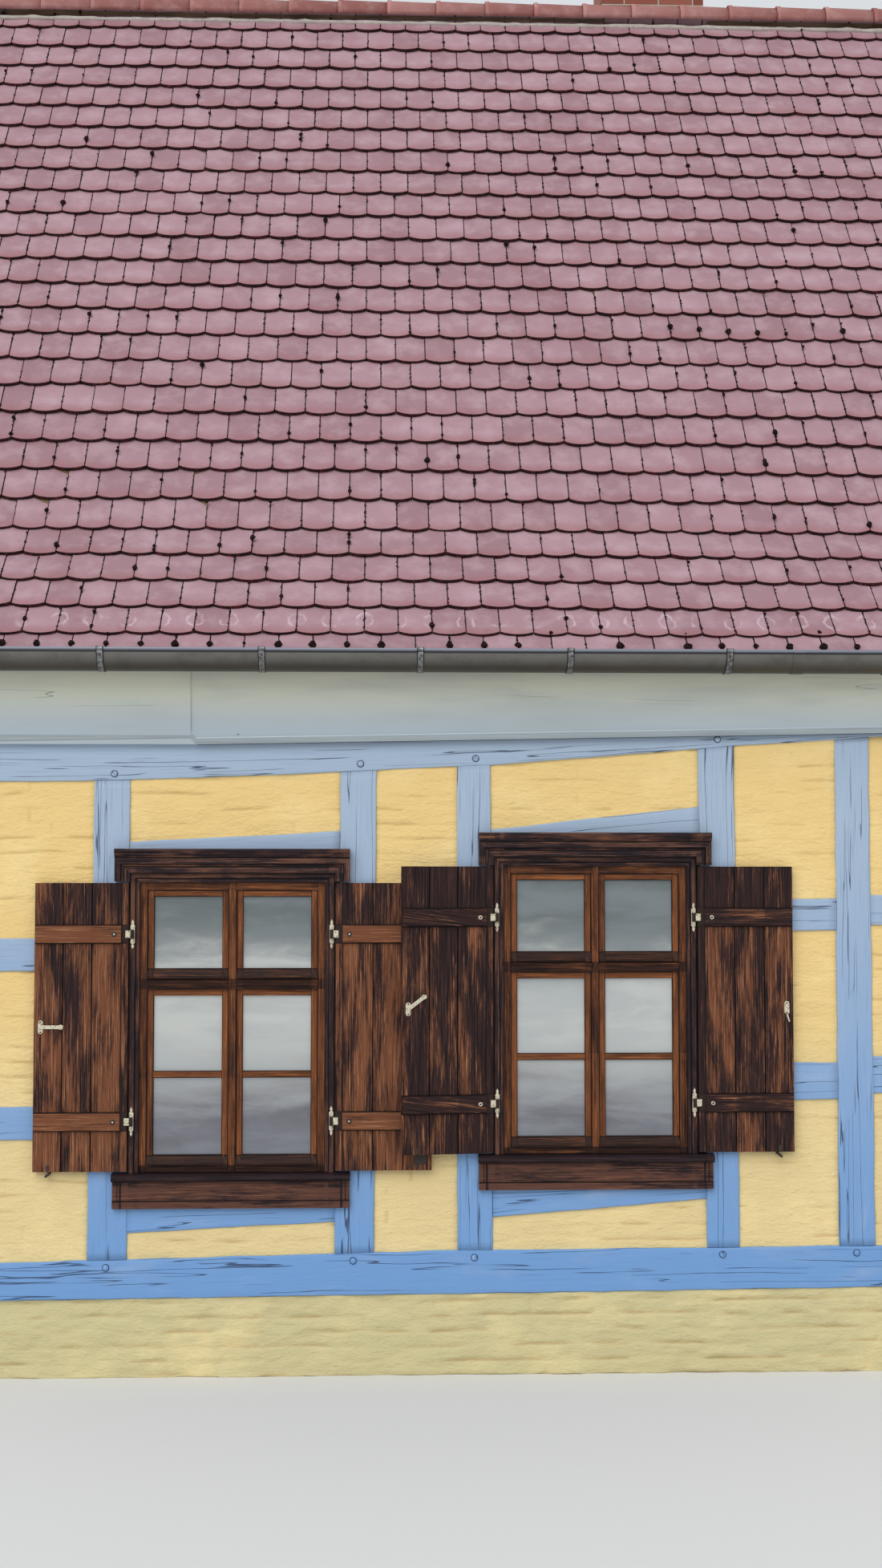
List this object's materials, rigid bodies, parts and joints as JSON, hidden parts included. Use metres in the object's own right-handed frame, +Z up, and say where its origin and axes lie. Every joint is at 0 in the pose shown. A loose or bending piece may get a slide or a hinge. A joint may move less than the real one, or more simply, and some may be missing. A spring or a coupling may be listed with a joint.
{
  "type": "half-timbered house",
  "caption": "Small half-timbered house with a steep tiled roof, brick panels between painted timbers and casement windows with hinged board shutters.",
  "frame": {"origin": "on the ground, under the middle of the house's outline", "axes": "+X along the ridge to the right of the front wall, +Y from the front wall to the back wall, +Z up"},
  "size_m": [7.335, 7.48, 9.6996],
  "materials": {
    "timber": "matt paint",
    "infill": "matt limewash",
    "roof_tile": "matt",
    "roof_wood": "matt",
    "floor_wood": "matt",
    "eaves_paint": "matt paint",
    "gutter_metal": "weathered",
    "chimney_brick": "matt",
    "window_wood": "satin stain",
    "window_glass": "gloss",
    "shutter_wood": "weathered stain",
    "hinge_metal": "satin",
    "door_wood": "satin stain",
    "step_stone": "matt"
  },
  "bodies": {
    "house": {"back_door": "door_wood", "back_door_frame": "door_wood", "back_door_step": "step_stone", "back_eaves_board": "eaves_paint", "back_gutter": "gutter_metal", "back_infill": "infill", "back_posts": "timber", "back_rails": "timber", "back_roof_slope": "roof_tile", "back_sill_beam": "timber", "back_wall_plate": "timber", "back_window_casings": "window_wood", "back_window_frames": "window_wood", "back_window_glass": "window_glass", "back_window_sashes": "window_wood", "chimney": "chimney_brick", "front_eaves_board": "eaves_paint", "front_gutter": "gutter_metal", "front_infill": "infill", "front_posts": "timber", "front_rails": "timber", "front_roof_slope": "roof_tile", "front_sill_beam": "timber", "front_wall_plate": "timber", "gable_sill_beams": "timber", "gable_tie_beams": "timber", "gable_triangle_infill": "infill", "ground_floor": "floor_wood", "gutter_brackets": "gutter_metal", "left_gable_frame": "timber", "left_gable_infill": "infill", "left_gable_truss": "timber", "left_window_casing": "window_wood", "left_window_frame": "window_wood", "left_window_glass": "window_glass", "left_window_right_shutter": "shutter_wood", "left_window_sashes": "window_wood", "loft_floor": "floor_wood", "loft_joists": "roof_wood", "plinth": "infill", "rafters": "roof_wood", "ridge_tiles": "roof_tile", "right_gable_frame": "timber", "right_gable_infill": "infill", "right_gable_truss": "timber", "right_window_casing": "window_wood", "right_window_frame": "window_wood", "right_window_glass": "window_glass", "right_window_sashes": "window_wood", "shutter_pintles": "hinge_metal", "verge_boards": "eaves_paint"},
    "left_window_left_leaf": {"left_window_left_shutter": "shutter_wood"},
    "right_window_left_leaf": {"right_window_left_shutter": "shutter_wood"},
    "right_window_right_leaf": {"right_window_right_shutter": "shutter_wood"}
  },
  "joints": [
    {"name": "left_window_left_hinge", "type": "hinge", "parent": "house", "child": "left_window_left_leaf", "pos_m": [-1.825, -3.47, 1.798], "axis": [0, 0, 1], "range_deg": [0, 180]},
    {"name": "right_window_left_hinge", "type": "hinge", "parent": "house", "child": "right_window_left_leaf", "pos_m": [0.067, -3.47, 1.884], "axis": [0, 0, 1], "range_deg": [0, 172]},
    {"name": "right_window_right_hinge", "type": "hinge", "parent": "house", "child": "right_window_right_leaf", "pos_m": [1.097, -3.47, 1.884], "axis": [0, 0, -1], "range_deg": [0, 180]}
  ]
}
